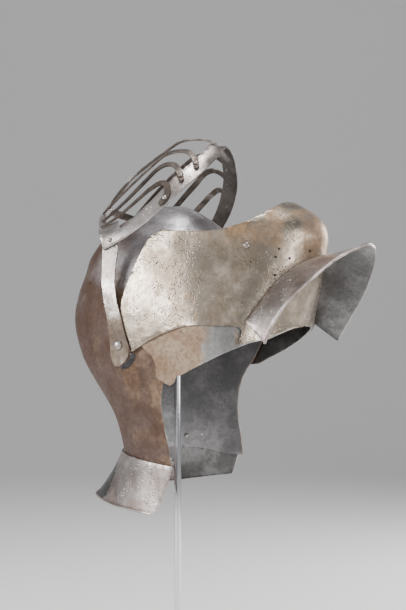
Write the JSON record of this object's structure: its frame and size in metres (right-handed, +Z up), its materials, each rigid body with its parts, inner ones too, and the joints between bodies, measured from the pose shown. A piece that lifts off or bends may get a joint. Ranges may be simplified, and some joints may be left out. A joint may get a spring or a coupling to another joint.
{
  "type": "armet on a display stand",
  "caption": "Close-fitting knightly helmet with bevor and barred visor raised, flared neck collars, on a round-foot rod stand",
  "frame": {"origin": "on the floor, in the middle of the stand's round foot, on the axis of the rod", "axes": "+Z up, the helmet faces -Y, the wearer's right side is towards -X"},
  "size_m": [0.21, 0.3143, 0.533],
  "materials": {
    "bowl_steel": "worn dark iron with a brown patina",
    "plate_steel": "cleaned steel with fine pits and rust stains",
    "throat_steel": "grey steel with rust streaks",
    "collar_steel": "pale cleaned steel, scratched",
    "bar_steel": "hand-forged bars, bright edges and brown hollows",
    "rivet_steel": "hammered iron rivet heads",
    "rod_steel": "polished round rod",
    "foot_steel": "plain dark satin paint"
  },
  "bodies": {
    "bowl": {"skull": "bowl_steel", "rear_collar": "collar_steel", "pivot_rivet_right": "rivet_steel", "pivot_rivet_left": "rivet_steel", "stand_rod": "rod_steel", "stand_pad": "foot_steel", "stand_foot": "foot_steel"},
    "bevor": {"bevor_plate": "plate_steel", "throat_plate": "throat_steel", "front_collar": "collar_steel", "bevor_stud": "rivet_steel"},
    "visor": {"visor_frame": "bar_steel", "ridge_bar": "bar_steel", "visor_arm_right": "bar_steel", "arm_rivet_right": "rivet_steel", "lower_bar_right": "bar_steel", "lower_rivet_right": "rivet_steel", "middle_bar_right": "bar_steel", "middle_rivet_right": "rivet_steel", "upper_bar_right": "bar_steel", "upper_rivet_right": "rivet_steel", "visor_arm_left": "bar_steel", "arm_rivet_left": "rivet_steel", "lower_bar_left": "bar_steel", "lower_rivet_left": "rivet_steel", "middle_bar_left": "bar_steel", "middle_rivet_left": "rivet_steel", "upper_bar_left": "bar_steel", "upper_rivet_left": "rivet_steel"}
  },
  "joints": [
    {"name": "bevor_pivot", "type": "hinge", "parent": "bowl", "child": "bevor", "pos_m": [0, 0.012, 0.33], "axis": [1, 0, 0], "range_deg": [0, 64]},
    {"name": "visor_pivot", "type": "hinge", "parent": "bevor", "child": "visor", "pos_m": [0, 0.012, 0.33], "axis": [1, 0, 0], "range_deg": [-18, 8]}
  ]
}
